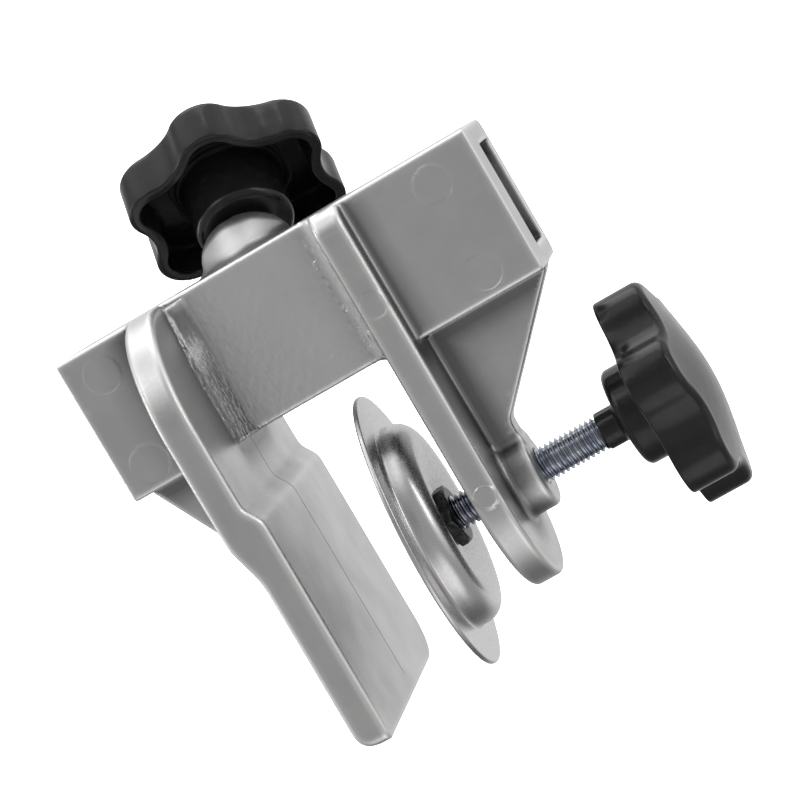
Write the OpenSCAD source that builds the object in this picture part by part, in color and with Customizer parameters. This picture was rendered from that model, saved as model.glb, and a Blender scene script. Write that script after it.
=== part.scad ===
// Bench clamp bracket with a bar socket, a swivel pressure pad and a corner lock knob.
// Millimetres. The origin is where the clamp screw's axis meets the fixed jaw's face.
// +X runs from the fixed jaw along the screw to its knob, +Y to the lock knob's side, +Z up to the beam.

/* [Beam] */
// Underside of the beam above the clamp screw's axis
beam_bottom = 37.7; // [37:0.1:42]
// Height of the beam
beam_h = 34; // [32:0.5:38]
// Half of the beam's depth at its thick ends
beam_half_d = 16.5; // [16:0.1:19]
// Beam end beyond the fixed jaw
beam_left = -28.1; // [-34:0.1:-24]
// Beam end on the knob side
beam_right = 73.6; // [72:0.1:85]
// How far the middle of the beam's front is set back
front_recess = 7.5; // [0:0.1:8]
// Radius of the beam's corners
beam_corner_r = 3; // [1:0.1:4]

/* [Bar socket] */
// Height of the socket
socket_h = 24.4; // [20:0.1:26]
// Depth of the socket, front to rear
socket_d = 18; // [14:0.1:18.5]
// Wall behind the socket
rear_wall = 2.6; // [2:0.1:5]
// Wall under the socket
floor_wall = 4.7; // [3:0.1:5]

/* [Fixed jaw] */
// Width of the jaw plate
jaw_w = 80; // [60:1:100]
// Thickness of the jaw plate
jaw_t = 7.3; // [5:0.1:9]
// Length of the jaw below the clamp screw's axis
jaw_drop = 30.3; // [26:0.1:40]
// How far the plate steps towards the screw below the beam
jaw_step = 2.65; // [1:0.05:4]
// Radius of the plate's shoulders beside the beam
jaw_shoulder_r = 26; // [10:0.5:30]

/* [Screw lug] */
// Left face of the lug
lug_x = 35.9; // [32:0.1:40]
// Thickness of the lug
lug_t = 6.8; // [5:0.1:9]
// Radius of the lug's round end
lug_r = 22.2; // [20:0.1:26]
// Radius of the boss on the lug
boss_r = 9; // [7:0.1:10]
// Length of the boss
boss_len = 7.1; // [4:0.1:9]
// Thickness of the triangular webs
web_t = 8; // [4:0.5:14]

/* [Screws and knobs] */
// Radius of both screws
screw_r = 4; // [3:0.1:5]
// Radial running clearance of both screws
screw_clear = 0.05; // [0.02:0.01:0.1]
// Radius of a knob over its lobe tips
knob_r = 25.5; // [22:0.1:28]
// Height of a knob's lobes
knob_h = 11; // [9:0.1:14]
// Height of a knob's domed top above its lobes
knob_dome = 3.9; // [1:0.1:5]
// Radius of a knob's hub
hub_r = 11.4; // [9:0.1:12]
// Length of a knob's hub below its lobes
hub_len = 6.7; // [4:0.1:8]

/* [Pressure pad] */
// Pad face's distance from the fixed jaw
pad_x = 20.2; // [16:0.1:22]
// Radius of the pad's flange
pad_r = 32.5; // [28:0.1:36]
// Radius of the pad's raised cup
cup_r = 24; // [20:0.1:26]
// Thickness of the pad's steel
sheet_t = 1.2; // [0.8:0.1:2]
// How far the pad's top leans towards the lug as it hangs, in degrees
pad_lean = 2; // [0:0.1:2]
// How far the pad's front turns towards the lug as it hangs, in degrees
pad_yaw = 1.4; // [0:0.1:1.4]

/* [Hidden] */
$fn = 96;
eps = 0.01;

// Beam and socket
beam_top = beam_bottom + beam_h;
front_y = -beam_half_d;
recess_y = front_y + front_recess;
socket_y1 = beam_half_d - rear_wall;
socket_y0 = socket_y1 - socket_d;
socket_z0 = beam_bottom + floor_wall;

// Fixed jaw: inner face at X = 0 below the step, and set back above it
step_top = 26.9;
step_bottom = 23.1;
outer_step_top = 20.5;
outer_step_bottom = 12.2;
jaw_toe = 5;
jaw_front_corner_r = 2.5;
jaw_rear_corner_r = 9;

// Lug, boss and webs
lug_right = lug_x + lug_t;
boss_end = lug_right + boss_len;
web_end = boss_end - 0.4;
lug_shoulder_r = 5.5;

// Corner lock: its axis starts at the socket's upper rear corner and leans to the rear
lock_x = 15.7;
lock_lean = 42.5;
lock_boss_x = 14.5;
lock_boss_r = 10.8;
lock_boss_top = 12;
lock_boss_round = 7;
lock_boss_root = -8;
lock_hub_gap = 0.6;
lock_rim = lock_boss_top + lock_hub_gap + hub_len;
lock_tip = -3;
lock_lobe_turn = 39;

// Knob: six lobes whose tip arcs run into the arcs of the valleys
lobes = 6;
lobe_r = 7.8;
lobe_at = knob_r - lobe_r;
valley_r = 10.88;
valley_low = knob_r - 4.6;
valley_at = valley_low + valley_r;
knob_wall = 2.6;
knob_top_t = 3;
dome_ball_r = (knob_r * knob_r + knob_dome * knob_dome) / (2 * knob_dome);
head_r = 7.5;
head_t = 5.3;
head_at = knob_h - knob_top_t - head_t + 2;
collar_r = 4.35;
collar_len = 5.4;

// Clamp knob and screw, along X
clamp_rim = 76.9;
clamp_lobe_turn = 10;
collar_end = clamp_rim - hub_len - collar_len;

// Pad and what holds it on the screw, along X
pad_h = 7.8;
pad_plate = pad_x + 3;
pad_shoulder_r = 4.5;
pad_dish_r = 9.6;
pad_pivot = pad_x + 3.6;
ring_gap = 0.7;
ring_t = 1;
ring_r = 6.3;
groove_r = 3.3;
washer_gap = 0.7;
washer_t = 0.4;
washer_r = 6.3;
nut_gap = 0.1;
nut_t = 3;
nut_af = 13;
pad_hole_r = screw_r + 1;
washer_x = pad_plate + sheet_t + washer_gap;
nut_x = washer_x + washer_t + nut_gap;
ring_x = pad_plate - ring_gap - ring_t;
tip_x = ring_x - 0.6;

// Turns a shape drawn up Z so that it runs along +X
module along_x() rotate([0, 90, 0]) children();

// Places a shape drawn up Z on the corner lock's axis
module on_lock_axis(x)
    translate([x, socket_y1, socket_z0 + socket_h])
        rotate([-lock_lean, 0, 0])
            children();

// A rectangle with four rounded corners
module round_rect(x0, y0, x1, y1, r) {
    for (x = [x0 + r, x1 - r], y = [y0 + r, y1 - r])
        translate([x, y])
            circle(r);
    translate([x0 + r, y0])
        square([x1 - x0 - 2 * r, y1 - y0]);
    translate([x0, y0 + r])
        square([x1 - x0, y1 - y0 - 2 * r]);
}

// A slab drawn in front view (X, Z) between two depths
module front_slab(y0, y1)
    translate([0, y1, 0])
        rotate([90, 0, 0])
            linear_extrude(y1 - y0)
                children();

// A slab drawn in side view (Y, Z) between two stations along X
module side_slab(x0, x1)
    translate([x0, 0, 0])
        rotate([90, 0, 90])
            linear_extrude(x1 - x0)
                children();

// One thick end of the beam
module beam_end(x0, x1)
    front_slab(front_y, recess_y + eps)
        round_rect(x0, beam_bottom, x1, beam_top, beam_corner_r);

module beam() {
    intersection() {
        front_slab(recess_y, beam_half_d)
            round_rect(beam_left, beam_bottom, beam_right, beam_top, beam_corner_r);
        side_slab(beam_left, beam_right)
            union() {
                round_rect(0, beam_bottom, beam_half_d, beam_top, beam_corner_r);
                translate([recess_y, beam_bottom])
                    square([beam_half_d, beam_h]);
            }
    }
    beam_end(beam_left, -jaw_step);
    beam_end(lug_x, beam_right);
}

// Outline of the jaw plate in side view
module jaw_outline() {
    half = jaw_w / 2;
    sh = jaw_shoulder_r;
    for (side = [-1, 1])
        translate([side * (half - sh), beam_top - sh])
            circle(sh);
    translate([sh - half, 0])
        square([jaw_w - 2 * sh, beam_top]);
    translate([-half, 0])
        square([jaw_w, beam_top - sh]);
    translate([jaw_front_corner_r - half, -jaw_drop])
        square([jaw_w - jaw_front_corner_r - jaw_rear_corner_r, jaw_drop + 1]);
    translate([-half, jaw_rear_corner_r - jaw_drop])
        square([jaw_w, jaw_drop - jaw_rear_corner_r + 1]);
    translate([-half, jaw_front_corner_r - jaw_drop])
        square([jaw_w / 2, jaw_drop]);
    translate([jaw_front_corner_r - half, jaw_front_corner_r - jaw_drop])
        circle(jaw_front_corner_r);
    translate([half - jaw_rear_corner_r, jaw_rear_corner_r - jaw_drop])
        circle(jaw_rear_corner_r);
}

// Section of the jaw plate in front view: stepped, with a rounded toe
module jaw_section() {
    polygon([
        [-jaw_step, beam_top],
        [-jaw_step, step_top],
        [0, step_bottom],
        [0, -jaw_drop],
        [jaw_toe - jaw_t, -jaw_drop],
        [-jaw_t, jaw_toe - jaw_drop],
        [-jaw_t, outer_step_bottom],
        [-jaw_t - jaw_step, outer_step_top],
        [-jaw_t - jaw_step, beam_top]
    ]);
    translate([jaw_toe - jaw_t, jaw_toe - jaw_drop])
        intersection() {
            circle(jaw_toe);
            translate([-jaw_toe, -jaw_toe])
                square(jaw_toe);
        }
}

module fixed_jaw()
    intersection() {
        front_slab(-jaw_w / 2, jaw_w / 2)
            jaw_section();
        side_slab(-jaw_t - jaw_step, 0)
            jaw_outline();
    }

module screw_lug() {
    r = lug_shoulder_r;
    side_slab(lug_x, lug_right) {
        circle(lug_r);
        translate([-lug_r, 0])
            square([2 * lug_r, beam_top - r]);
        translate([r - lug_r, 0])
            square([2 * (lug_r - r), beam_top]);
        for (side = [-1, 1])
            translate([side * (lug_r - r), beam_top - r])
                circle(r);
    }
    translate([lug_x, 0, 0])
        along_x()
            cylinder(r = boss_r, h = boss_end - lug_x);
}

// Triangular webs that brace the two jaws against the beam's ends
module webs()
    front_slab(-web_t / 2, web_t / 2) {
        polygon([
            [beam_right - 1, beam_bottom + 1],
            [beam_right - 1, beam_bottom - 0.8],
            [web_end, boss_r + 3.5],
            [web_end, 0],
            [lug_right - 1, 0],
            [lug_right - 1, beam_bottom + 1]
        ]);
        polygon([
            [beam_left + 1, beam_bottom + 1],
            [beam_left + 1, beam_bottom - 0.8],
            [-jaw_t, -0.3],
            [-jaw_t + 1, -0.3],
            [-jaw_t + 1, beam_bottom + 1]
        ]);
    }

// Boss of the corner lock, with a rounded top
module lock_boss()
    on_lock_axis(lock_boss_x)
        rotate_extrude() {
            translate([0, lock_boss_root])
                square([lock_boss_r, lock_boss_top - lock_boss_round - lock_boss_root]);
            translate([0, lock_boss_root])
                square([lock_boss_r - lock_boss_round, lock_boss_top - lock_boss_root]);
            translate([lock_boss_r - lock_boss_round, lock_boss_top - lock_boss_round])
                intersection() {
                    circle(lock_boss_round);
                    square(lock_boss_round);
                }
        }

module bracket()
    color("silver")
        difference() {
            union() {
                beam();
                fixed_jaw();
                screw_lug();
                webs();
                lock_boss();
            }
            translate([beam_left - 1, socket_y0, socket_z0])
                cube([beam_right - beam_left + 2, socket_d, socket_h]);
            translate([lug_x - 1, 0, 0])
                along_x()
                    cylinder(r = screw_r + screw_clear, h = boss_end - lug_x + 2);
            on_lock_axis(lock_x)
                translate([0, 0, lock_tip - 1])
                    cylinder(r = screw_r + screw_clear, h = lock_boss_top - lock_tip + 3);
        }

// Outline of a knob, drawn a wall's thickness smaller when inset is not 0
module knob_outline(inset) {
    tangent = lobe_at * [1, 0] + (lobe_r - inset) * valley_direction();
    difference() {
        circle(norm(tangent));
        for (i = [0 : lobes - 1])
            rotate((i + 0.5) * 360 / lobes)
                translate([valley_at, 0])
                    circle(valley_r + inset);
    }
    for (i = [0 : lobes - 1])
        rotate(i * 360 / lobes)
            translate([lobe_at, 0])
                circle(lobe_r - inset);
}

// Direction from a lobe's centre to the centre of the valley beside it
function valley_direction() =
    let (half = 180 / lobes, v = valley_at * [cos(half), sin(half)] - [lobe_at, 0])
    v / norm(v);

// A lobed knob with its rim's underside at Z = 0 and its hub below, bored for a headed screw
module knob(collar)
    color([0.06, 0.06, 0.07])
        difference() {
            union() {
                difference() {
                    intersection() {
                        linear_extrude(knob_h + knob_dome)
                            knob_outline(0);
                        translate([0, 0, knob_h + knob_dome - dome_ball_r])
                            sphere(dome_ball_r, $fn = 192);
                    }
                    translate([0, 0, -eps])
                        linear_extrude(knob_h - knob_top_t)
                            knob_outline(knob_wall);
                }
                translate([0, 0, -hub_len])
                    cylinder(r = hub_r, h = hub_len + knob_h - knob_top_t + 1);
                translate([0, 0, -hub_len - collar])
                    cylinder(r = collar_r, h = collar + 1);
            }
            translate([0, 0, -hub_len - collar - 1])
                cylinder(r = screw_r + screw_clear, h = hub_len + collar + head_at + 2);
            translate([0, 0, head_at])
                cylinder(r = head_r + screw_clear, h = head_t);
        }

// A plain-shanked screw along Z: its tip at z0 and its head moulded into a knob whose rim is at z1
module headed_screw(z0, z1) {
    translate([0, 0, z0])
        cylinder(r = screw_r, h = z1 + head_at - z0 + eps);
    translate([0, 0, z1 + head_at])
        cylinder(r = head_r, h = head_t - screw_clear);
}

module clamp_screw()
    color("lightsteelblue")
        along_x()
            difference() {
                headed_screw(tip_x, clamp_rim);
                translate([0, 0, ring_x])
                    difference() {
                        cylinder(r = screw_r + 1, h = ring_t);
                        cylinder(r = groove_r, h = ring_t);
                    }
            }

module clamp_knob()
    translate([clamp_rim, 0, 0])
        along_x()
            rotate(180 + clamp_lobe_turn)
                knob(collar_len);

// Half section of the cup, inset by the sheet's thickness for its inside
module cup_section(inset) {
    shoulder = cup_r - pad_shoulder_r;
    crest = pad_x + pad_h;
    polygon([
        [0, pad_x],
        [cup_r - inset, pad_x],
        [cup_r - inset, crest - pad_shoulder_r],
        [shoulder, crest - inset],
        [pad_dish_r, pad_plate + sheet_t - inset],
        [0, pad_plate + sheet_t - inset]
    ]);
    translate([shoulder, crest - pad_shoulder_r])
        circle(pad_shoulder_r - inset);
}

// Pressed steel cup: a flat rim, a wall, a round shoulder and a dished back with a hole
module pressure_pad()
    color("gainsboro")
        translate([pad_pivot, 0, 0])
            rotate([0, pad_lean, pad_yaw])
                translate([-pad_pivot, 0, 0])
                    along_x()
                        rotate_extrude()
                            difference() {
                                union() {
                                    cup_section(0);
                                    translate([0, pad_x])
                                        square([pad_r, sheet_t]);
                                }
                                cup_section(sheet_t);
                                square([cup_r - sheet_t, pad_x + eps]);
                                square([pad_hole_r, pad_plate + 5]);
                            }

module thrust_washer()
    color("gainsboro")
        translate([washer_x, 0, 0])
            along_x()
                difference() {
                    cylinder(r = washer_r, h = washer_t);
                    translate([0, 0, -1])
                        cylinder(r = screw_r + screw_clear, h = washer_t + 2);
                }

module lock_nut()
    color("dimgray")
        translate([nut_x, 0, 0])
            along_x()
                difference() {
                    rotate(30)
                        cylinder(d = nut_af / cos(30), h = nut_t, $fn = 6);
                    translate([0, 0, -1])
                        cylinder(r = screw_r, h = nut_t + 2);
                }

// Split ring in the screw's groove, which keeps the pad on
module retaining_ring()
    color("dimgray")
        translate([ring_x, 0, 0])
            along_x()
                difference() {
                    cylinder(r = ring_r, h = ring_t);
                    translate([0, 0, -1])
                        cylinder(r = groove_r, h = ring_t + 2);
                    translate([0, -groove_r * 0.6, -1])
                        cube([ring_r + 1, groove_r * 1.2, ring_t + 2]);
                }

module lock_screw()
    color("lightsteelblue")
        on_lock_axis(lock_x)
            headed_screw(lock_tip, lock_rim);

module lock_knob()
    on_lock_axis(lock_x)
        translate([0, 0, lock_rim])
            rotate(lock_lobe_turn)
                knob(0);

bracket();
clamp_screw();
clamp_knob();
pressure_pad();
thrust_washer();
lock_nut();
retaining_ring();
lock_screw();
lock_knob();
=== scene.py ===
import math

import bmesh
import bpy
import numpy as np
from mathutils import Matrix, Vector


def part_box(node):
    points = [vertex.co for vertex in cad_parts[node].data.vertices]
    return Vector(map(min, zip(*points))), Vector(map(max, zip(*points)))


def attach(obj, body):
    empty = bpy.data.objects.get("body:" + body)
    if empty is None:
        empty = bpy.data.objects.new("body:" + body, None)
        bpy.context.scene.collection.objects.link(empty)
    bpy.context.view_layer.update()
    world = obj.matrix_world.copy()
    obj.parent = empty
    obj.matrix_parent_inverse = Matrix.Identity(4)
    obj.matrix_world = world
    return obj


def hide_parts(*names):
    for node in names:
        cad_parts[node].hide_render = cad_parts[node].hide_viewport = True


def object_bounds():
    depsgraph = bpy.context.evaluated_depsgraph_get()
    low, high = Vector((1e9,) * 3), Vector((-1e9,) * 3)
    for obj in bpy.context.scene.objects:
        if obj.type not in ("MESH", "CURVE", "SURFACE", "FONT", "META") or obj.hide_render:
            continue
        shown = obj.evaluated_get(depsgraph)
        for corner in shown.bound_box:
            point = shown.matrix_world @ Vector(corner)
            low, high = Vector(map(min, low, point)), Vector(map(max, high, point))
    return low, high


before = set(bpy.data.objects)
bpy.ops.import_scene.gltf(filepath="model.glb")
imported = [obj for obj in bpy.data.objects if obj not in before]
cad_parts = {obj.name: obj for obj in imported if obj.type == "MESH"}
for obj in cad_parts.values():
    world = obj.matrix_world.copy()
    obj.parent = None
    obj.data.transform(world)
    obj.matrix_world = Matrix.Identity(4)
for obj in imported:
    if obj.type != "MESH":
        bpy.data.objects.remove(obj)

# Geometry is worked out in millimetres in the row frame, and turned into metres as meshes are made.
MM = 0.001
CAD_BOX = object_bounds()


def corners(node):
    """Lowest and highest corner of a CAD node, in millimetres."""
    lo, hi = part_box(node)
    return np.array(lo) / MM, np.array(hi) / MM


bracket_lo, bracket_hi = corners("bracket")
clamp_knob_hi = corners("clamp_knob")[1]
clamp_screw_lo = corners("clamp_screw")[0]
washer_lo, washer_hi = corners("thrust_washer")
nut_lo, nut_hi = corners("lock_nut")

# Beam: ends, height, depth, and the set-back middle of its front
BEAM_X0, BEAM_X1 = bracket_lo[0], bracket_hi[0]
BEAM_Z0 = 37.7
BEAM_Z1 = BEAM_Z0 + 34
BEAM_HALF = 16.5
RECESS_Y = -9.0
RAMP_X = (-2.65, 1.8)
FOLD_IN = 4.3
BEAM_R = 3.0
BEAM_FRONT_R = 1.0
END_R = 0.7
SOCKET_Y = (-4.1, 13.9)
SOCKET_Z = (42.4, 66.8)
SOCKET_R = 0.9

# Fixed jaw
JAW_HALF = bracket_hi[1]
JAW_Z0 = bracket_lo[2]
JAW_T = 7.3
JAW_STEP = 2.65
JAW_SHOULDER_R = 26.0
JAW_FRONT_R = 2.5
JAW_REAR_R = 9.0
JAW_TOE_R = 5.0
JAW_EDGE_R = 1.5
INNER_STEP = (23.1, 26.9)
OUTER_STEP = (12.2, 20.5)

# Screw lug, its boss, and the webs
LUG_X = (35.9, 42.7)
LUG_R = 22.2
LUG_SHOULDER_R = 5.5
LUG_EDGE_R = 1.3
BOSS_R = 9.0
BOSS_X = 49.8
WEB_HALF = 4.0
WEB_EDGE_R = 0.7

# Both screws are M8
SCREW_R = 4.0
ROOT_R = 3.3
PITCH = 1.25

# Corner lock: its axis starts at the socket's upper rear corner
LOCK_LEAN = math.radians(42.5)
LOCK_X = 15.7
LOCK_BOSS_X = 14.3
LOCK_BOSS_R = 11.0
LOCK_BOSS_TOP = 12.0
LOCK_BOSS_ROUND = 7.0
LOCK_BOSS_ROOT = -8.0
LOCK_TIP = -3.0
LOCK_AXIS = np.array([0, math.sin(LOCK_LEAN), math.cos(LOCK_LEAN)])
LOCK_SIDE = np.array([0, math.cos(LOCK_LEAN), -math.sin(LOCK_LEAN)])
LOCK_ROOT = np.array([LOCK_X, SOCKET_Y[1], SOCKET_Z[1]])
LOCK_TURN = math.radians(39)

# Knobs
KNOB_R = 25.5
KNOB_H = 11.0
KNOB_DOME = 3.9
HUB_R = 11.4
HUB_LEN = 6.7
COLLAR_R = 4.35
COLLAR_LEN = 5.4
LOBE_R = 7.8
VALLEY_R = 10.88
VALLEY_LOW = KNOB_R - 4.6
KNOB_WALL = 2.6
KNOB_ROOF = 8.0
CLAMP_RIM = clamp_knob_hi[0] - KNOB_DOME - KNOB_H
CLAMP_TURN = math.radians(180 + 10)
LOCK_RIM = LOCK_BOSS_TOP + 0.6 + HUB_LEN
IN_HUB = 3.0

# Pressure pad
PAD_X = 20.2
PAD_R = 32.5
CUP_R = 24.0
PAD_H = 7.8
PAD_PLATE = PAD_X + 3
SHEET = 1.2
PAD_HOLE_R = 4.6
PAD_SHOULDER_R = 4.5
PAD_DISH_R = 9.6
PAD_PIVOT = PAD_X + 3.6
PAD_LEAN = math.radians(2)
PAD_YAW = math.radians(1.4)


# Bracket mesh: grid cell, the share of faces kept, and how far out its painted occlusion shade is felt
CELL, QUICK_CELL = 0.5, 0.9
KEPT_SHARE = 0.45
SHADE_REACH = (3.0, 7.0, 14.0)


# ---------------------------------------------------------------- meshes

def unit(v):
    return v / np.linalg.norm(v)


def add_piece(name, points, faces, material, body, replaces=(), sharp=None):
    """A smooth-shaded piece from millimetre points, riding on a CAD body and standing for CAD nodes."""
    mesh = bpy.data.meshes.new(name)
    mesh.from_pydata((np.asarray(points) * MM).tolist(), [], [list(f) for f in faces])
    work = bmesh.new()
    work.from_mesh(mesh)
    bmesh.ops.recalc_face_normals(work, faces=work.faces)
    for edge in work.edges:
        edge.smooth = sharp is None or edge.calc_face_angle(0) < sharp
    for face in work.faces:
        face.smooth = True
    work.to_mesh(mesh)
    work.free()
    mesh.materials.append(material)
    obj = bpy.data.objects.new(name, mesh)
    bpy.context.scene.collection.objects.link(obj)
    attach(obj, body)
    if replaces:
        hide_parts(*replaces)
    return obj


def strip(rings, caps=True):
    """Points and faces of a closed tube through rings of equal length, with fans over its two ends."""
    rings = np.asarray(rings, dtype=float)
    count, around = rings.shape[:2]
    points = rings.reshape(-1, 3)
    i, j = np.meshgrid(np.arange(count - 1), np.arange(around), indexing="ij")
    k = (j + 1) % around
    quads = np.stack([i * around + j, i * around + k, (i + 1) * around + k, (i + 1) * around + j], -1)
    faces = quads.reshape(-1, 4).tolist()
    if caps:
        for ring, flip in ((0, False), (count - 1, True)):
            centre = len(points)
            points = np.vstack([points, rings[ring].mean(axis=0)])
            for a in range(around):
                b = (a + 1) % around
                pair = (ring * around + a, ring * around + b)
                faces.append([centre, *(pair if flip else pair[::-1])])
    return points, faces


def loop_strip(rings):
    """Points and faces of a ring whose section closes on itself."""
    rings = np.asarray(rings, dtype=float)
    count, around = rings.shape[:2]
    i, j = np.meshgrid(np.arange(count), np.arange(around), indexing="ij")
    k, n = (j + 1) % around, (i + 1) % count
    quads = np.stack([i * around + j, i * around + k, n * around + k, n * around + j], -1)
    return rings.reshape(-1, 3), quads.reshape(-1, 4).tolist()


def rounded_path(path, steps=8):
    """Points along (u, v, radius) corners, with an arc of that radius at each one."""
    out = []
    for i, (u, v, radius) in enumerate(path):
        here = np.array([u, v], dtype=float)
        if radius == 0:
            out.append(here)
            continue
        back = unit(np.array(path[i - 1][:2]) - here)
        ahead = unit(np.array(path[(i + 1) % len(path)][:2]) - here)
        half = math.acos(np.clip(back @ ahead, -1, 1)) / 2
        centre = here + unit(back + ahead) * radius / math.sin(half)
        first = here + back * radius / math.tan(half) - centre
        last = here + ahead * radius / math.tan(half) - centre
        a0, a1 = math.atan2(first[1], first[0]), math.atan2(last[1], last[0])
        sweep = (a1 - a0 + math.pi) % (2 * math.pi) - math.pi
        for s in np.linspace(0, 1, steps + 1):
            angle = a0 + s * sweep
            out.append(centre + radius * np.array([math.cos(angle), math.sin(angle)]))
    return np.array(out)


def lathe(profile, around=160):
    """Rings about the local w axis from (radius, w) pairs."""
    angle = np.linspace(0, 2 * math.pi, around, endpoint=False)
    return [np.stack([r * np.cos(angle), r * np.sin(angle), np.full(around, w)], -1) for r, w in profile]


def place(points, origin, eu, ev, ew):
    """Local (u, v, w) points set at origin along the three given directions."""
    return np.asarray(origin) + np.asarray(points) @ np.array([eu, ev, ew], dtype=float)


ALONG_X = ((0, 0, -1), (0, 1, 0), (1, 0, 0))
ALONG_LOCK = ((1, 0, 0), LOCK_SIDE, LOCK_AXIS)


# ---------------------------------------------------------------- bracket, as a distance field

def fillet_union(a, b, radius):
    """Both solids, with a fillet where they meet."""
    near = np.hypot(np.maximum(radius - a, 0), np.maximum(radius - b, 0))
    return np.maximum(radius, np.minimum(a, b)) - near


def round_cut(a, b, radius):
    """What both solids share, with a rounded edge."""
    past = np.hypot(np.maximum(radius + a, 0), np.maximum(radius + b, 0))
    return np.minimum(-radius, np.maximum(a, b)) + past


def slab(v, lo, hi):
    return np.abs(v - (lo + hi) / 2) - (hi - lo) / 2


def rect(u, v, u0, u1, v0, v1, radius):
    """Distance to a rectangle whose corners have a radius, which may differ from place to place."""
    a = slab(u, u0, u1) + radius
    b = slab(v, v0, v1) + radius
    return np.hypot(np.maximum(a, 0), np.maximum(b, 0)) + np.minimum(np.maximum(a, b), 0) - radius


def ramp(v, lo, hi, soft=0.22):
    """0 below lo and 1 above hi, with rounded bends."""
    t = (v - lo) / (hi - lo)
    return 0.5 * (np.hypot(t, soft) - np.hypot(t - 1, soft) + 1)


def smooth(v, lo, hi):
    t = np.clip((v - lo) / (hi - lo), 0, 1)
    return t * t * (3 - 2 * t)


def beam_field(x, y, z):
    radius = np.where(y > 0, BEAM_R, BEAM_FRONT_R)
    whole = rect(y, z, RECESS_Y, BEAM_HALF, BEAM_Z0, BEAM_Z1, radius)
    whole = round_cut(whole, slab(x, BEAM_X0, BEAM_X1), END_R)
    ends = rect(y, z, -BEAM_HALF, BEAM_HALF, BEAM_Z0, BEAM_Z1, radius)
    left = round_cut(ends, slab(x, BEAM_X0, -JAW_STEP - 2), END_R)
    right = round_cut(ends, slab(x, LUG_X[0] + 2, BEAM_X1), END_R)
    return np.minimum(whole, np.minimum(left, right))


def jaw_field(x, y, z):
    radius = np.where(z > 0, JAW_SHOULDER_R, np.where(y < 0, JAW_FRONT_R, JAW_REAR_R))
    outline = rect(y, z, -JAW_HALF, JAW_HALF, JAW_Z0, BEAM_Z1, radius)
    inner = x + JAW_STEP * ramp(z, *INNER_STEP)
    outer = -x - JAW_T - JAW_STEP * ramp(z, *OUTER_STEP)
    outer = round_cut(outer, JAW_Z0 - z, JAW_TOE_R)
    return np.maximum(round_cut(inner, outline, JAW_EDGE_R), round_cut(outer, outline, JAW_EDGE_R))


def lug_field(x, y, z):
    tall = rect(y, z, -LUG_R, LUG_R, -LUG_R, BEAM_Z1, LUG_SHOULDER_R)
    outline = np.where(z < 0, np.hypot(y, z) - LUG_R, tall)
    plate = round_cut(outline, slab(x, *LUG_X), LUG_EDGE_R)
    boss = round_cut(np.hypot(y, z) - BOSS_R, slab(x, LUG_X[0] + 1, BOSS_X), 1.5)
    return fillet_union(plate, boss, 1.8)


def fit_inside(field, x, z, x0, x1, z0):
    """A web's outline kept between two stations along X, and from a height up into the beam's floor."""
    return np.maximum(np.maximum(field, slab(x, x0, x1)), slab(z, z0, BEAM_Z0 + 2))


def web_field(x, y, z):
    run = np.array([BEAM_X1 - 1 - (BOSS_X - 0.4), BEAM_Z0 - 0.8 - (BOSS_R + 3.5)])
    slope = unit(np.array([run[1], -run[0]]))
    right = (x - (BOSS_X - 0.4)) * slope[0] + (z - (BOSS_R + 3.5)) * slope[1]
    right = fillet_union(right, x - (BOSS_X - 0.4), 0.8)
    right = fit_inside(right, x, z, LUG_X[0] + 1, BEAM_X1 - 1.2, 0)
    run = np.array([BEAM_X0 + 1 + JAW_T, BEAM_Z0 - 0.8 + 0.3])
    slope = unit(np.array([-run[1], run[0]]))
    left = (x + JAW_T) * slope[0] + (z + 0.3) * slope[1]
    left = fit_inside(left, x, z, BEAM_X0 + 1.2, 2 - JAW_T, -1)
    side = np.abs(y) - WEB_HALF
    return round_cut(right, side, WEB_EDGE_R), round_cut(left, side, WEB_EDGE_R)


def lock_space(x, y, z, centre):
    """Distance along the corner lock's axis from the socket's corner, and off its line at x = centre."""
    dy, dz = y - LOCK_ROOT[1], z - LOCK_ROOT[2]
    along = dy * LOCK_AXIS[1] + dz * LOCK_AXIS[2]
    across = dy * LOCK_SIDE[1] + dz * LOCK_SIDE[2]
    return along, np.hypot(x - centre, across)


def ramp_depth(z):
    """How far in front of the middle face the ramp beside the jaw begins."""
    return 1.5 + 3.5 * smooth(-z, -68, -54)


def bracket_field(x, y, z):
    between = smooth(x, 20, 24) * (1 - smooth(x, 36, 39)) * (1 - smooth(y, -10, 4))
    depth = ramp_depth(z)
    width = RAMP_X[1] - RAMP_X[0]
    slope = ((x - RAMP_X[1]) * depth - (y - RECESS_Y) * width) / np.hypot(depth, width)
    slope = np.maximum(np.maximum(slope, slab(x, RAMP_X[0] - 2, RAMP_X[1])), slab(z, BEAM_Z0, BEAM_Z1 - 1.5))
    body = fillet_union(beam_field(x, y, z), np.maximum(slope, y + 6), 0.6)
    body = fillet_union(body, jaw_field(x, y, z), 0.9)
    body = fillet_union(body, lug_field(x, y, z), 1.4 + 3.4 * between)
    for web in web_field(x, y, z):
        body = fillet_union(body, web, 1.3)
    along, off = lock_space(x, y, z, LOCK_BOSS_X)
    boss = round_cut(off - LOCK_BOSS_R, along - LOCK_BOSS_TOP, LOCK_BOSS_ROUND)
    boss = np.maximum(boss, LOCK_BOSS_ROOT - along)
    body = np.maximum(body, z - BEAM_Z1)
    body = fillet_union(body, boss, 2.0)
    body = round_cut(body, -rect(y, z, *SOCKET_Y, *SOCKET_Z, SOCKET_R), END_R)
    bore = np.maximum(np.hypot(y, z) - SCREW_R - 0.3, LUG_X[0] - 4 - x)
    body = round_cut(body, -bore, 0.6)
    along, off = lock_space(x, y, z, LOCK_X)
    bore = np.maximum(off - SCREW_R - 0.3, LOCK_TIP - 2 - along)
    return round_cut(body, -bore, 0.6)


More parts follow.
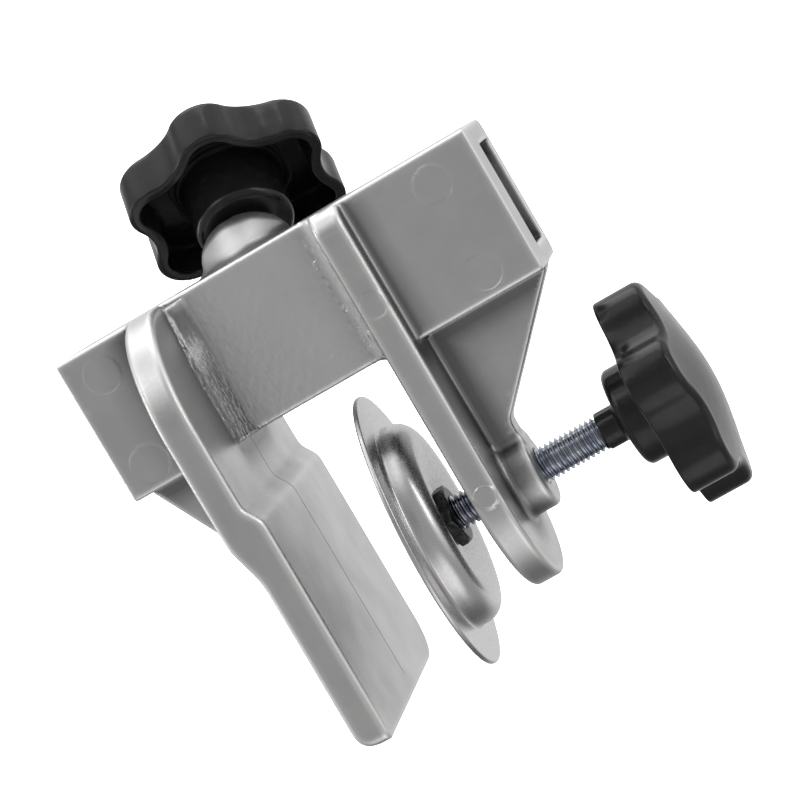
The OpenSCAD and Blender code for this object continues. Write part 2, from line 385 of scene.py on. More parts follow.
def flow_lines(p):
    """Height from 0 to 1 of the wrinkled ridges where the metal met, beside the jaw and beside the lug."""
    x, y, z = p.T
    wander = 0.35 * skin_waves(p)
    seam = np.hypot(x - RAMP_X[0] - 0.3 - 0.5 * wander, y - RECESS_Y + ramp_depth(z) + wander)
    flash = np.exp(-(seam / 0.5) ** 2)
    flash *= smooth(z, BEAM_Z0 - 1, BEAM_Z0 + 1) * (1 - smooth(z, BEAM_Z1 - 4, BEAM_Z1 - 2))
    fold = np.exp(-((x - LUG_X[0] + FOLD_IN + 1.5 * wander) / 0.45) ** 2)
    fold *= 1 - smooth(y, RECESS_Y + 1, RECESS_Y + 2)
    return flash, fold * smooth(z, BEAM_Z0, BEAM_Z0 + 2) * (0.5 + 0.5 * np.tanh(2 * fine_waves(p)))


def wave_field(seed, length, spread, count=28):
    """A smooth random function of place, about 1 high, made of plane waves of roughly one length."""
    rng = np.random.default_rng(seed)
    way = rng.normal(size=(count, 3))
    lengths = length * rng.uniform(1 - spread, 1 + spread, count)
    way *= (2 * math.pi / lengths / np.linalg.norm(way, axis=1))[:, None]
    phase = rng.uniform(0, 2 * math.pi, count)

    def value(p):
        total = np.zeros(len(p))
        for k, start in zip(way, phase):
            total += np.sin(p @ k + start)
        return total / math.sqrt(count)
    return value


slow_waves = wave_field(3, 16, 0.4)
skin_waves = wave_field(5, 2.6, 0.45)
fine_waves = wave_field(8, 1.3, 0.35)


def casting_weight(x, y, z):
    """1 on the set-back middle of the beam's front, where the die leaves a rough skin, and 0 elsewhere."""
    span = smooth(x, -3.5, 0.5) * (1 - smooth(x, 32.5, 36.5))
    rise = smooth(z, BEAM_Z0 - 2, BEAM_Z0 + 1) * (1 - smooth(z, BEAM_Z1 - 1.3, BEAM_Z1 + 0.2))
    return span * (1 - smooth(y, RECESS_Y + 2.5, RECESS_Y + 5)) * rise


# Ejector marks on faces that look to the front: x, z, radius, and how far each stands proud
EJECTORS = ((62.3, 64.8, 4.1, -0.12), (62.4, 43.6, 4.1, 0.1),
            (-19.9, 65.0, 4.3, 0.1), (-20.8, 43.5, 4.3, -0.12))
LUG_EJECTORS = ((39.6, 49.3, 3.0, 0.12), (39.5, 2.7, 2.6, 0.3))


def relief(p):
    """Height of the casting's skin over its plain shape."""
    x, y, z = p.T
    rough = casting_weight(x, y, z)
    near_fillet = rough * (1 - smooth(x, 0.5, 4.5) + smooth(x, 28.5, 33))
    near_fillet *= 0.35 + 0.65 * (1 - smooth(z, 40, 62))
    height = 0.004 * slow_waves(p) + rough * (0.014 * skin_waves(p) + 0.009 * fine_waves(p))
    flash, fold = flow_lines(p)
    height += 0.3 * flash * (0.8 + 0.4 * fine_waves(p)) + 0.16 * fold
    height += near_fillet * 0.07 * np.abs(fine_waves(p * np.array([1.0, 1.0, 0.45])))
    front = 1 - smooth(y, -BEAM_HALF + 0.6, -BEAM_HALF + 1.4)
    for cx, cz, radius, proud in EJECTORS + LUG_EJECTORS:
        off = np.hypot(x - cx, z - cz)
        height += front * proud * (1 - smooth(off, radius - 0.35, radius + 0.35))
    return height


def skin_field(p):
    return bracket_field(*p.T) - relief(p)


def gradient(field, p, step=0.05):
    out = np.empty_like(p)
    for axis in range(3):
        shift = np.zeros(3)
        shift[axis] = step
        out[:, axis] = (field(p + shift) - field(p - shift)) / (2 * step)
    return out


def settle(field, p, rounds):
    """Points moved onto the field's zero surface."""
    for _ in range(rounds):
        slope = gradient(field, p)
        move = (field(p) / np.maximum((slope ** 2).sum(axis=1), 0.2))[:, None] * slope
        far = np.linalg.norm(move, axis=1)[:, None]
        p = p - move * np.minimum(1, 0.4 / np.maximum(far, 1e-9))
    return np.clip(p, bracket_lo, bracket_hi)


def surface_net(field, lo, hi, cell):
    """Quads over the zero surface of a field, one point in each grid cell that the surface crosses."""
    axes = [np.arange(a - 2 * cell, b + 2.5 * cell, cell, dtype=np.float32) for a, b in zip(lo, hi)]
    grid = field(axes[0][:, None, None], axes[1][None, :, None], axes[2][None, None, :]).astype(np.float32)
    inside = grid < 0
    count = np.zeros([n - 1 for n in inside.shape], dtype=np.uint8)
    shifts = [(i, j, k) for i in (0, 1) for j in (0, 1) for k in (0, 1)]
    for i, j, k in shifts:
        count += inside[i:i + count.shape[0], j:j + count.shape[1], k:k + count.shape[2]]
    cells = np.argwhere((count > 0) & (count < 8))
    index = np.full(count.shape, -1, dtype=np.int32)
    index[tuple(cells.T)] = np.arange(len(cells))
    total = np.zeros((len(cells), 3))
    hits = np.zeros(len(cells))
    for a in shifts:
        for axis in range(3):
            if a[axis]:
                continue
            b = list(a)
            b[axis] = 1
            va = grid[tuple((cells + a).T)]
            vb = grid[tuple((cells + b).T)]
            cross = (va < 0) != (vb < 0)
            t = np.where(cross, va / np.where(cross, va - vb, 1), 0)
            spot = cells + np.array(a, dtype=float)
            spot[:, axis] += t
            total += spot * cross[:, None]
            hits += cross
    points = np.array([axis[0] for axis in axes]) + cell * total / hits[:, None]
    faces = []
    for axis in range(3):
        ahead = [slice(1, -1)] * 3
        ahead[axis] = slice(0, -1)
        after = list(ahead)
        after[axis] = slice(1, None)
        first, second = inside[tuple(ahead)], inside[tuple(after)]
        edge = np.argwhere(first != second)
        flip = first[tuple(edge.T)]
        base = edge + 1
        base[:, axis] -= 1
        u, v = [np.eye(3, dtype=int)[(axis + s) % 3] for s in (1, 2)]
        quad = np.stack([index[tuple((base - d).T)] for d in (u + v, v, 0 * u, u)], -1)
        quad[~flip] = quad[~flip, ::-1]
        faces.append(quad)
    return points, np.vstack(faces)


def make_bracket(material):
    cell = CELL
    points, faces = surface_net(bracket_field, bracket_lo, bracket_hi, cell)
    points = settle(skin_field, points, 2)
    mesh = bpy.data.meshes.new("bracket_casting")
    mesh.from_pydata((points * MM).tolist(), [], faces.tolist())
    obj = bpy.data.objects.new("bracket_casting", mesh)
    bpy.context.scene.collection.objects.link(obj)
    thin = obj.modifiers.new("thin", "DECIMATE")
    thin.ratio = KEPT_SHARE
    dg = bpy.context.evaluated_depsgraph_get()
    light = bpy.data.meshes.new_from_object(obj.evaluated_get(dg))
    obj.modifiers.clear()
    obj.data = light
    bpy.data.meshes.remove(mesh)
    points = np.empty(len(light.vertices) * 3)
    light.vertices.foreach_get("co", points)
    points = settle(skin_field, points.reshape(-1, 3) / MM, 1)
    light.vertices.foreach_set("co", (points * MM).ravel())
    normals = gradient(skin_field, points)
    normals /= np.linalg.norm(normals, axis=1)[:, None]
    reach = 0.7
    bend = -6 * bracket_field(*points.T)
    for axis in range(3):
        for way in (-reach, reach):
            shift = np.zeros(3)
            shift[axis] = way
            bend = bend + bracket_field(*(points + shift).T)
    flash, fold = flow_lines(points)
    # Partly edges rubbed bright in tumbling, partly a painted highlight: convex rounding and the flash and
    # fold ridges are stored to lighten the colour
    store(light, "edge", np.clip(np.clip(bend / reach ** 2 * 1.2, 0, 1) + 0.9 * flash + 0.4 * fold, 0, 1))
    x, y, z = points.T
    # Painted shade: the ramp beside the jaw is stored to darken the colour there
    ramp_shade_mask = slab_weight(x, RAMP_X[0] + 0.6, RAMP_X[1] + 0.4, 0.8) * slab_weight(y, -16, -8.2, 0.6)
    store(light, "ramp", ramp_shade_mask * slab_weight(z, BEAM_Z0 - 1, BEAM_Z1 - 3, 1.0))
    # Painted highlight: a strip of the middle face beside the lug is stored to lighten the colour there
    store(light, "lug_highlight", slab_weight(x, LUG_X[0] - 3.9, LUG_X[0] + 0.1, 0.8) * slab_weight(y, -16, -7, 0.8)
          * slab_weight(z, BEAM_Z0 - 1, BEAM_Z1 + 1, 1.0))
    # Painted shade: hollow bends and fillets are stored to darken the colour there
    store(light, "crease_shade", np.clip(-bend / reach ** 2 * 1.2, 0, 1))
    store(light, "cast", casting_weight(*points.T))
    # Painted shade: how enclosed each point is, sampled at three distances along its normal, is stored to
    # darken the colour in recesses and corners
    occlusion_shade = 0
    for reach in SHADE_REACH:
        occlusion_shade += np.clip(reach - bracket_field(*(points + reach * normals).T), 0, reach) / reach
    store(light, "occlusion_shade", np.clip(occlusion_shade / len(SHADE_REACH), 0, 1))
    light.shade_smooth()
    light.normals_split_custom_set_from_vertices(normals.tolist())
    light.materials.clear()
    light.materials.append(material)
    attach(obj, "bracket")
    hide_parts("bracket")
    return obj


def slab_weight(v, low, high, soft):
    """1 between two values and 0 outside them, with soft steps."""
    return smooth(v, low - soft, low + soft) * (1 - smooth(v, high - soft, high + soft))


def store(mesh, name, values):
    layer = mesh.attributes.new(name, "FLOAT", "POINT")
    layer.data.foreach_set("value", np.asarray(values, dtype=np.float32))


# ---------------------------------------------------------------- knobs

def knob_outline(lobe_steps=22, valley_steps=16):
    """Points and outward directions round a knob: lobe arcs that run into valley arcs."""
    lobe_at, valley_at = KNOB_R - LOBE_R, VALLEY_LOW + VALLEY_R
    half = math.pi / 6
    gap = valley_at * np.array([math.cos(half), math.sin(half)]) - np.array([lobe_at, 0])
    meet = math.atan2(gap[1], gap[0])
    spots, ways = [], []
    for i in range(6):
        turn = i * 2 * half
        for a in np.linspace(-meet, meet, lobe_steps, endpoint=False):
            way = np.array([math.cos(a + turn), math.sin(a + turn)])
            spots.append(lobe_at * np.array([math.cos(turn), math.sin(turn)]) + LOBE_R * way)
            ways.append(way)
        middle = turn + half
        low = middle + math.pi
        spread = meet + math.pi + turn - low
        for a in np.linspace(low + spread, low - spread, valley_steps, endpoint=False):
            way = np.array([math.cos(a), math.sin(a)])
            spots.append(valley_at * np.array([math.cos(middle), math.sin(middle)]) + VALLEY_R * way)
            ways.append(-way)
    return np.array(spots), np.array(ways)


def dome_height(r):
    """How far the knob's crown stands over its lobe tips, at a distance from its axis."""
    t = np.clip(r / KNOB_R, 0, 1)
    ball = 1 - t ** 2
    bell = np.cos(t * math.pi / 2) ** 2
    return KNOB_DOME * (0.5 * ball + 0.5 * bell)


def knob_rings(collar):
    """Rings of the moulding from its crown, over the rim, up inside it and down its hub to the bore.

    The second value is the span of points that lies in the pocket.
    """
    spots, ways = knob_outline()
    top_r, rim_r, inner_r, fillet = 2.2, 0.6, 0.5, 1.2

    def ring(inset, w):
        flat = spots - inset * ways
        return np.column_stack([flat, np.broadcast_to(w, len(flat))])

    def circle(r, w):
        flat = unit_rows(spots) * r
        return np.column_stack([flat, np.full(len(flat), float(w))])

    def over_top(share):
        flat = (spots - top_r * ways) * share
        return np.column_stack([flat, KNOB_H + dome_height(np.linalg.norm(flat, axis=1))])

    rings = [over_top(s) for s in np.linspace(0.04, 1, 22)]
    for q in np.linspace(0, math.pi / 2, 9)[1:]:
        flat = spots - top_r * (1 - math.sin(q)) * ways
        top = KNOB_H + dome_height(np.linalg.norm(spots - top_r * ways, axis=1))
        rings.append(np.column_stack([flat, top - top_r * (1 - math.cos(q))]))
    side_top = KNOB_H + dome_height(np.linalg.norm(spots - top_r * ways, axis=1)) - top_r
    for share in (0.7, 0.4):
        rings.append(ring(0, rim_r + share * (side_top - rim_r)))
    for q in np.linspace(0, math.pi / 2, 6):
        rings.append(ring(rim_r * (1 - math.cos(q)), rim_r * (1 - math.sin(q))))
    for q in np.linspace(0, math.pi / 2, 5):
        rings.append(ring(KNOB_WALL - inner_r + inner_r * math.sin(q), inner_r * (1 - math.cos(q))))
    first = len(rings)
    for q in np.linspace(0, math.pi / 2, 7):
        rings.append(ring(KNOB_WALL + fillet * (1 - math.cos(q)), KNOB_ROOF - fillet * (1 - math.sin(q))))
    hub_top = circle(HUB_R + fillet, KNOB_ROOF)
    for share in (0.33, 0.67):
        rings.append(rings[-1] * (1 - share) + hub_top * share)
    pocket = (first * len(spots), (len(rings) + 6) * len(spots))
    end = -HUB_LEN
    hub = [(HUB_R + fillet, KNOB_ROOF, 0), (HUB_R, KNOB_ROOF, fillet), (HUB_R, end, 1.7)]
    if collar:
        hub += [(COLLAR_R + 1.6, end, 0.3), (COLLAR_R, end - 1.2, 0.3), (COLLAR_R, end - collar, 0.3)]
    hub += [(SCREW_R + 0.1, end - collar, 0.05 if collar else 0.4), (SCREW_R + 0.1, end - collar + 4, 0)]
    rings += [circle(r, w) for r, w in rounded_path(hub, 6)]
    return rings, pocket


def unit_rows(v):
    return v / np.linalg.norm(v, axis=1)[:, None]


def make_knob(name, material, collar, origin, axes, turn, body, node):
    rings, pocket = knob_rings(collar)
    points, faces = strip(rings)
    spin = np.array([[math.cos(turn), math.sin(turn), 0], [-math.sin(turn), math.cos(turn), 0], [0, 0, 1]])
    points = place(points @ spin, origin, *axes)
    knob = add_piece(name, points, faces, material, body, (node,))
    # Painted shade: the pocket's points are marked so the plastic's reflections are turned down inside the
    # knob
    inside = np.zeros(len(knob.data.vertices))
    inside[pocket[0]:pocket[1]] = 1
    store(knob.data, "inside", inside)
    return knob


# ---------------------------------------------------------------- threads, nut, washer, pad

def thread_radius(turns):
    """Radius of an M8 thread at a place measured in turns along its helix."""
    t = np.abs((turns % 1) - 0.5) * 2
    crest, root = 0.14, 0.76
    return SCREW_R - (SCREW_R - ROOT_R) * np.clip((t - crest) / (root - crest), 0, 1)


def make_screw(name, material, w0, w1, origin, axes, body, node):
    around, per_pitch = 48, 14
    w = np.arange(w0, w1 + PITCH / per_pitch, PITCH / per_pitch)
    angle = np.linspace(0, 2 * math.pi, around, endpoint=False)
    rings = []
    for at in w:
        r = thread_radius(at / PITCH - angle / (2 * math.pi))
        r = np.minimum(r, ROOT_R - 0.25 + (at - w0) * 1.0)
        rings.append(np.column_stack([r * np.cos(angle), r * np.sin(angle), np.full(around, at)]))
    points, faces = strip(rings)
    return add_piece(name, place(points, origin, *axes), faces, material, body, (node,))


def make_nut(material):
    across, around = nut_hi[2] - nut_lo[2], 144
    height = nut_hi[0] - nut_lo[0]
    angle = np.linspace(0, 2 * math.pi, around, endpoint=False)
    fold = (angle + math.pi / 6) % (math.pi / 3) - math.pi / 6
    hexagon = across / 2 / np.cos(fold)
    face_r = across * 0.475

    def ring(r, w):
        return np.column_stack([r * np.cos(angle), r * np.sin(angle), np.full(around, w)])

    def side(w):
        depth = min(w, height - w)
        return ring(np.minimum(hexagon, face_r + depth * math.sqrt(3)), w)

    bore, lead = ROOT_R + 0.15, 0.8
    lower = [0, 0.1, 0.2, 0.3, 0.45, 0.6, 0.8]
    rings = [ring(bore, lead), ring(bore + lead, 0)]
    rings += [side(w) for w in lower] + [side(height - w) for w in reversed(lower)]
    rings += [ring(bore + lead, height), ring(bore, height - lead)]
    points, faces = loop_strip(rings)
    points = place(points, (nut_lo[0], 0, 0), *ALONG_X)
    return add_piece("lock_nut_hex", points, faces, material, "spindle", ("lock_nut",),
                     math.radians(22))


def make_washer(material):
    r = washer_hi[1]
    profile = [(SCREW_R + 0.1, 0, 0.12), (r, 0, 0.2), (r, washer_hi[0] - washer_lo[0], 0.2),
               (SCREW_R + 0.1, washer_hi[0] - washer_lo[0], 0.12)]
    points, faces = loop_strip(lathe(rounded_path(profile, 4), 96))
    points = place(points, (washer_lo[0], 0, 0), *ALONG_X)
    return add_piece("thrust_washer_disc", points, faces, material, "thrust",
                     ("thrust_washer",))


def make_pad(material):
    """Pressed cup: flat rim, wall, round shoulder and dished back, all of one sheet."""
    plate = PAD_PLATE + SHEET
    centre = np.array([CUP_R - PAD_SHOULDER_R, PAD_X + PAD_H - PAD_SHOULDER_R])
    reach = centre - np.array([PAD_DISH_R, plate])
    slope = math.tan(math.atan2(reach[1], reach[0]) + math.asin(PAD_SHOULDER_R / np.linalg.norm(reach)))
    drop = SHEET * math.hypot(1, slope)
    inner_r = CUP_R - SHEET
    top = plate + (CUP_R - PAD_DISH_R) * slope
    under = plate + (inner_r - PAD_DISH_R) * slope - drop
    profile = rounded_path([
        (PAD_HOLE_R, plate, 0.35),
        (PAD_DISH_R, plate, 3.5),
        (CUP_R, top, PAD_SHOULDER_R),
        (CUP_R, PAD_X + SHEET, 1.0),
        (PAD_R, PAD_X + SHEET, 0.45),
        (PAD_R, PAD_X, 0.45),
        (inner_r, PAD_X, 2.0),
        (inner_r, under, PAD_SHOULDER_R - SHEET),
        (PAD_DISH_R + (drop - SHEET) / slope, PAD_PLATE, 2.3),
        (PAD_HOLE_R, PAD_PLATE, 0.35),
    ], 12)
    points, faces = loop_strip(lathe(profile, 224))
    points = place(points, (0, 0, 0), *ALONG_X)
    tilt = Matrix.Rotation(PAD_YAW, 3, "Z") @ Matrix.Rotation(PAD_LEAN, 3, "Y")
    pivot = np.array([PAD_PIVOT, 0, 0])
    points = (points - pivot) @ np.array(tilt).T + pivot
    return add_piece("pressure_pad_cup", points, faces, material, "pad", ("pressure_pad",))


# ---------------------------------------------------------------- materials

class Shader:
    """A material with one Principled shader, and short ways to add nodes to it."""

    def __init__(self, name, colour, metallic, roughness, **values):
        self.material = bpy.data.materials.new(name)
        self.material.use_nodes = True
        self.tree = self.material.node_tree
        self.main = self.tree.nodes["Principled BSDF"]
        self.set(self.main, **{"Base Color": (*colour, 1), "Metallic": metallic,
                               "Roughness": roughness, **values})

    def set(self, node, **values):
        for key, value in values.items():
            node.inputs[key].default_value = value

    def node(self, kind, **settings):
        made = self.tree.nodes.new(kind)
        for key, value in settings.items():
            setattr(made, key, value)
        return made

    def link(self, out, socket):
        self.tree.links.new(out, socket)

    def place_out(self):
        return self.node("ShaderNodeTexCoord").outputs["Object"]

    def noise(self, per_mm, detail=2.0, roughness=0.5, stretch=None):
        made = self.node("ShaderNodeTexNoise")
        self.set(made, Scale=per_mm / MM, Detail=detail, Roughness=roughness)
        where = self.place_out()
        if stretch:
            mapping = self.node("ShaderNodeMapping")
            mapping.inputs["Scale"].default_value = stretch
            self.link(where, mapping.inputs["Vector"])
            where = mapping.outputs["Vector"]
        self.link(where, made.inputs["Vector"])
        return made.outputs["Fac"]

    def attribute(self, name):
        return self.node("ShaderNodeAttribute", attribute_name=name).outputs["Fac"]

    def remap(self, value, lo, hi, to_lo, to_hi):
        made = self.node("ShaderNodeMapRange")
        self.link(value, made.inputs["Value"])
        self.set(made, **{"From Min": lo, "From Max": hi, "To Min": to_lo, "To Max": to_hi})
        return made.outputs["Result"]

    def math(self, operation, a, b):
        made = self.node("ShaderNodeMath", operation=operation)
        for socket, value in zip(made.inputs, (a, b)):
            if isinstance(value, (int, float)):
                socket.default_value = value
            else:
                self.link(value, socket)
        return made.outputs["Value"]

    def mix(self, share, a, b):
        made = self.node("ShaderNodeMix", data_type="RGBA", clamp_factor=False)
        self.link(share, made.inputs["Factor"])
        for socket, value in ((made.inputs[6], a), (made.inputs[7], b)):
            if isinstance(value, tuple):
                socket.default_value = (*value, 1)
            else:
                self.link(value, socket)
        return made.outputs[2]

    def bump(self, height, depth_mm, strength=1.0, below=None):
        made = self.node("ShaderNodeBump")
        self.set(made, Distance=depth_mm * MM)
        if isinstance(strength, float):
            self.set(made, Strength=strength)
        else:
            self.link(strength, made.inputs["Strength"])
        self.link(height, made.inputs["Height"])
        if below is not None:
            self.link(below, made.inputs["Normal"])
        return made.outputs["Normal"]


def cast_aluminium():
    """Tumbled die-cast aluminium: satin and mottled, its edges rubbed brighter with a painted highlight on
    them and on the seam ridges, painted shade in its creases, recesses and on the ramp beside the jaw, and a
    painted highlight beside the lug.
    """
    s = Shader("cast_aluminium", (0.6, 0.6, 0.6), 1.0, 0.36)
    edge, crease_shade, cast, occlusion_shade = (s.attribute(n) for n in ("edge", "crease_shade", "cast", "occlusion_shade"))
    blotch = s.remap(s.noise(0.09, 3.0), 0.35, 0.65, 0, 1)
    tone = s.mix(blotch, (0.6, 0.6, 0.605), (0.66, 0.66, 0.655))
    # Painted shade: enclosed places are darkened
    tone = s.mix(s.remap(occlusion_shade, 0.06, 0.45, 0, 0.85), tone, (0.17, 0.17, 0.17))
    tone = s.mix(s.math("MULTIPLY", cast, 0.5), tone, (0.82, 0.82, 0.82))
    # Painted shade on the ramp beside the jaw
    tone = s.mix(s.math("MULTIPLY", s.attribute("ramp"), 0.8), tone, (0.25, 0.25, 0.25))
    # Painted highlight on the strip beside the lug
    tone = s.mix(s.math("MULTIPLY", s.attribute("lug_highlight"), 0.7), tone, (1.0, 1.0, 1.0))
    # Rubbed edges, and a painted highlight along edges and seam ridges
    tone = s.mix(edge, tone, (0.85, 0.85, 0.84))
    # Painted shade in hollow bends
    tone = s.mix(s.math("MULTIPLY", crease_shade, 0.35), tone, (0.3, 0.3, 0.3))
    seam = parting_line(s)
    tone = s.mix(seam, tone, (0.05, 0.05, 0.05))
    s.link(tone, s.main.inputs["Base Color"])
    speck = s.remap(s.noise(1.6, 3.0), 0.3, 0.7, -0.05, 0.05)
    rough = s.math("ADD", s.remap(blotch, 0, 1, 0.385, 0.355), speck)
    rough = s.math("ADD", rough, s.math("MULTIPLY", edge, 0.06))
    s.link(rough, s.main.inputs["Roughness"])
    pits = s.bump(s.noise(0.8, 4.0, 0.55, (1.0, 1.0, 0.5)), 0.1, s.remap(cast, 0, 1, 0.07, 1.0))
    skin = s.bump(s.noise(4.0, 2.0), 0.012, 0.5, pits)
    rings = s.bump(ejector_rings(s), 0.05, s.remap(s.noise(0.12, 1.0), 0.42, 0.6, 0.1, 0.9), skin)
    s.link(rings, s.main.inputs["Normal"])
    return s.material


def parting_line(s):
    """1 along the fine line that the two die halves leave down the middle of the jaw's inner face."""
    parts = s.node("ShaderNodeSeparateXYZ")
    s.link(s.place_out(), parts.inputs["Vector"])
    x, y, z = parts.outputs
    normal = s.node("ShaderNodeSeparateXYZ")
    s.link(s.node("ShaderNodeNewGeometry").outputs["Normal"], normal.inputs["Vector"])
    waver = s.remap(s.noise(0.25, 2.0), 0.3, 0.7, -0.12 * MM, 0.12 * MM)
    off = s.math("ABSOLUTE", s.math("ADD", y, waver), 0)
    line = s.remap(off, 0.16 * MM, 0.3 * MM, 1, 0)
    low = s.remap(z, -26 * MM, -24.5 * MM, 0, 1)
    high = s.remap(z, 37 * MM, 37.8 * MM, 1, 0)
    near = s.remap(s.math("ABSOLUTE", x, 0), 3.2 * MM, 3.4 * MM, 1, 0)
    return s.math("MULTIPLY", s.math("MULTIPLY", line, near), s.math("MULTIPLY", low, high))


def ejector_rings(s):
    """Fine rings round the ejector marks on faces that look to the front."""
    parts = s.node("ShaderNodeSeparateXYZ")
    s.link(s.place_out(), parts.inputs["Vector"])
    x, y, z = parts.outputs
    total = None
    for cx, cz, radius, _ in EJECTORS + LUG_EJECTORS:
        dx = s.math("SUBTRACT", x, cx * MM)
        dz = s.math("SUBTRACT", z, cz * MM)
        off = s.math("SQRT", s.math("ADD", s.math("MULTIPLY", dx, dx), s.math("MULTIPLY", dz, dz)), 0)
        away = s.math("ABSOLUTE", s.math("SUBTRACT", off, radius * MM), 0)
        groove = s.remap(away, 0.05 * MM, 0.3 * MM, 1, 0)
        total = groove if total is None else s.math("MAXIMUM", total, groove)
    front = s.remap(y, (-BEAM_HALF + 1) * MM, (-BEAM_HALF + 2) * MM, 1, 0)
    return s.math("MULTIPLY", s.math("MULTIPLY", total, front), -1.0)


def zinc_steel():
    s = Shader("zinc_steel", (0.5, 0.53, 0.6), 1.0, 0.17)
    tone = s.mix(s.remap(s.noise(0.5, 2.0), 0.35, 0.65, 0, 1), (0.32, 0.35, 0.43), (0.56, 0.58, 0.62))
    s.link(tone, s.main.inputs["Base Color"])
    s.link(s.bump(s.noise(5.0, 2.0), 0.02, 0.4), s.main.inputs["Normal"])
    return s.material


def satin_steel():
    """Pressed stainless sheet with a turned sheen."""
    s = Shader("satin_steel", (0.66, 0.65, 0.655), 1.0, 0.28, Anisotropic=0.2)
    round_axis = s.node("ShaderNodeTangent", direction_type="RADIAL", axis="X")
    s.link(round_axis.outputs["Tangent"], s.main.inputs["Tangent"])
    grain = s.remap(s.noise(1.2, 3.0), 0.3, 0.7, 0.24, 0.32)
    s.link(grain, s.main.inputs["Roughness"])
    return s.material


def black_steel():
    s = Shader("black_steel", (0.07, 0.07, 0.075), 1.0, 0.34)
    tone = s.mix(s.remap(s.noise(0.8, 3.0), 0.35, 0.7, 0, 1), (0.05, 0.05, 0.055), (0.13, 0.13, 0.135))
    s.link(tone, s.main.inputs["Base Color"])
    s.link(s.bump(s.noise(3.0, 2.0), 0.02, 0.4), s.main.inputs["Normal"])
    return s.material


def black_plastic():
    """Glossy moulded plastic with a faint orange peel, and painted shade inside the knob's pocket."""
    s = Shader("black_plastic", (0.004, 0.004, 0.0042), 0.0, 0.2, **{"IOR": 1.42})
    # Painted shade: reflections are turned down from 0.5 to 0.12 inside the pocket
    inside = s.attribute("inside")
    s.link(s.remap(inside, 0, 1, 0.5, 0.12), s.main.inputs["Specular IOR Level"])
    s.link(s.remap(s.noise(0.35, 2.0), 0.3, 0.7, 0.12, 0.22), s.main.inputs["Roughness"])
    s.link(s.bump(s.noise(0.12, 1.0), 0.08, 0.4), s.main.inputs["Normal"])
    return s.material


# ---------------------------------------------------------------- stage, light and camera

def make_stage():
    """A pale floor that curves up into a pale surround."""
    floor_z = CAD_BOX[0][2] / MM - 0.5
    profile = [(0.5, 0), (700, 0), (1100, 0)]
    bend = np.linspace(0.1, math.pi / 2, 14)
    profile += [(1100 + 900 * math.sin(q), 900 * (1 - math.cos(q))) for q in bend]
    profile += [(2000, 1800), (2000, 3000)]
    points, faces = strip(lathe(profile, 96), caps=False)
    mesh = bpy.data.meshes.new("stage_floor")
    points = points + np.array([20, 0, floor_z])
    points = np.vstack([points, [20, 0, floor_z]])
    centre = len(points) - 1
    faces += [[centre, i, (i + 1) % 96] for i in range(96)]
    mesh.from_pydata((points * MM).tolist(), [], faces)
    mesh.shade_smooth()
    s = Shader("stage_white", (0.93, 0.93, 0.93), 0.0, 0.85)
    s.set(s.main, **{"Emission Color": (1, 1, 1, 1), "Emission Strength": 0.8})
    mesh.materials.append(s.material)
    obj = bpy.data.objects.new("stage_floor", mesh)
    bpy.context.scene.collection.objects.link(obj)
    obj.visible_glossy = False


# Soft light seen in reflections: direction, half-angles where each patch is full and gone, and brightness
PATCHES = (
    ((-0.1, 0.1, 1.0), 18, 48, 0.75),
    ((0.15, 1.0, 0.1), 25, 65, 0.42),
    ((0.15, -0.62, -0.78), 12, 34, 0.75),
    ((-0.1, 0.55, -0.85), 15, 45, -0.25),
    ((-0.15, -0.85, 0.38), 4, 18, -0.14),
    ((0.75, 0.2, 0.65), 8, 26, 0.5),
    ((-0.95, -0.1, 0.15), 10, 40, 0.35),
    ((0.97, -0.12, 0.1), 8, 34, 0.45),
)
AMBIENT = 0.4


def make_surround():
    """A tent that only reflections see, with soft bright patches where a studio's lights would be."""
    rings = [(1500 * math.sin(q), -1500 * math.cos(q)) for q in np.linspace(0.01, math.pi - 0.01, 24)]
    points, faces = strip(lathe(rings, 48))
    mesh = bpy.data.meshes.new("stage_surround")
    mesh.from_pydata((points * MM).tolist(), [], faces)
    s = Shader("stage_surround", (0, 0, 0), 0.0, 1.0)
    s.set(s.main, **{"Specular IOR Level": 0.0, "Emission Strength": 1.0})
    way = s.node("ShaderNodeVectorMath", operation="NORMALIZE")
    s.link(s.place_out(), way.inputs[0])
    total = None
    for direction, full, gone, power in PATCHES:
        dot = s.node("ShaderNodeVectorMath", operation="DOT_PRODUCT")
        s.link(way.outputs["Vector"], dot.inputs[0])
        dot.inputs[1].default_value = Vector(direction).normalized()
        patch = s.node("ShaderNodeMapRange", interpolation_type="SMOOTHSTEP")
        s.link(dot.outputs["Value"], patch.inputs["Value"])
        s.set(patch, **{"From Min": math.cos(math.radians(gone)), "From Max": math.cos(math.radians(full)),
                        "To Min": 0.0, "To Max": power})
        total = patch.outputs["Result"] if total is None else s.math("ADD", total, patch.outputs["Result"])
    level = s.math("MAXIMUM", s.math("ADD", total, AMBIENT), 0.02)
    s.link(s.mix(level, (0, 0, 0), (1, 1, 1)), s.main.inputs["Emission Color"])
    mesh.materials.append(s.material)
    obj = bpy.data.objects.new("stage_surround", mesh)
    bpy.context.scene.collection.objects.link(obj)
    obj.visible_camera = obj.visible_diffuse = obj.visible_shadow = obj.visible_transmission = False


def area_light(name, where, target, width, height, power):
    data = bpy.data.lights.new(name, "AREA")
    data.shape = "RECTANGLE"
    data.size, data.size_y = width, height
    data.energy = power
    lamp = bpy.data.objects.new(name, data)
    lamp.location = where
    lamp.rotation_euler = (Vector(target) - Vector(where)).to_track_quat("-Z", "Y").to_euler()
    lamp.visible_camera = False
    bpy.context.scene.collection.objects.link(lamp)


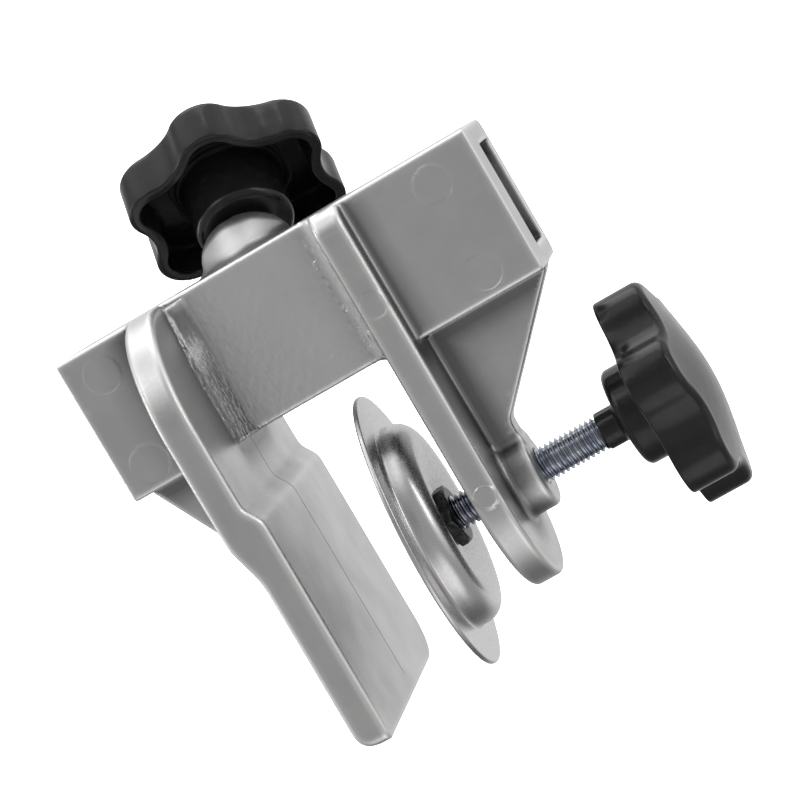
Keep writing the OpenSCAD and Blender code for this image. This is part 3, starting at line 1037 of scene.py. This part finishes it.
def make_lights():
    middle = (0.03, 0.0, 0.03)
    area_light("key", (-0.45, -0.55, 0.85), middle, 0.5, 0.5, 1.0)
    area_light("side", (0.9, -0.3, 0.4), middle, 0.12, 0.7, 0.9)
    area_light("top", (0.1, 0.35, 1.0), middle, 0.9, 0.6, 1.8)
    area_light("left", (-0.8, 0.1, 0.25), middle, 0.12, 0.7, 0.9)
    world = bpy.data.worlds.new("studio")
    world.use_nodes = True
    sky = world.node_tree.nodes["Background"]
    sky.inputs["Color"].default_value = (1, 1, 1, 1)
    sky.inputs["Strength"].default_value = 0.5
    bpy.context.scene.world = world


def make_camera():
    """The camera looks from the front and a little from the knob's side, rolled clockwise."""
    azimuth, elevation, roll = math.radians(10.64), math.radians(4.4), math.radians(30.45)
    data = bpy.data.cameras.new("camera")
    data.sensor_width = 36
    data.lens = 141.26
    data.clip_start, data.clip_end = 0.01, 20
    cam = bpy.data.objects.new("camera", data)
    back = Vector((math.sin(azimuth) * math.cos(elevation), -math.cos(azimuth) * math.cos(elevation),
                   math.sin(elevation)))
    turn = back.to_track_quat("Z", "Y") @ Matrix.Rotation(-roll, 4, "Z").to_quaternion()
    cam.rotation_mode = "QUATERNION"
    cam.rotation_quaternion = turn
    cam.location = (0.15522, -0.66605, 0.07973)
    bpy.context.scene.collection.objects.link(cam)
    bpy.context.scene.camera = cam


bpy.context.scene.view_settings.view_transform = "Standard"
make_camera()
make_stage()
make_surround()
make_lights()

aluminium, zinc, satin = cast_aluminium(), zinc_steel(), satin_steel()
blackened, plastic = black_steel(), black_plastic()

make_bracket(aluminium)
make_screw("clamp_screw_thread", zinc, clamp_screw_lo[0], CLAMP_RIM - HUB_LEN - COLLAR_LEN + IN_HUB,
           (0, 0, 0), ALONG_X, "spindle", "clamp_screw")
make_screw("lock_screw_thread", zinc, LOCK_TIP, LOCK_RIM - HUB_LEN + IN_HUB,
           LOCK_ROOT, ALONG_LOCK, "lock", "lock_screw")
make_knob("clamp_knob_moulding", plastic, COLLAR_LEN, (CLAMP_RIM, 0, 0), ALONG_X, CLAMP_TURN,
          "spindle", "clamp_knob")
make_knob("lock_knob_moulding", plastic, 0, LOCK_ROOT + LOCK_RIM * LOCK_AXIS, ALONG_LOCK, LOCK_TURN,
          "lock_handle", "lock_knob")
make_pad(satin)
make_washer(satin)
make_nut(blackened)

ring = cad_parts["retaining_ring"]
ring.data.materials.clear()
ring.data.materials.append(blackened)
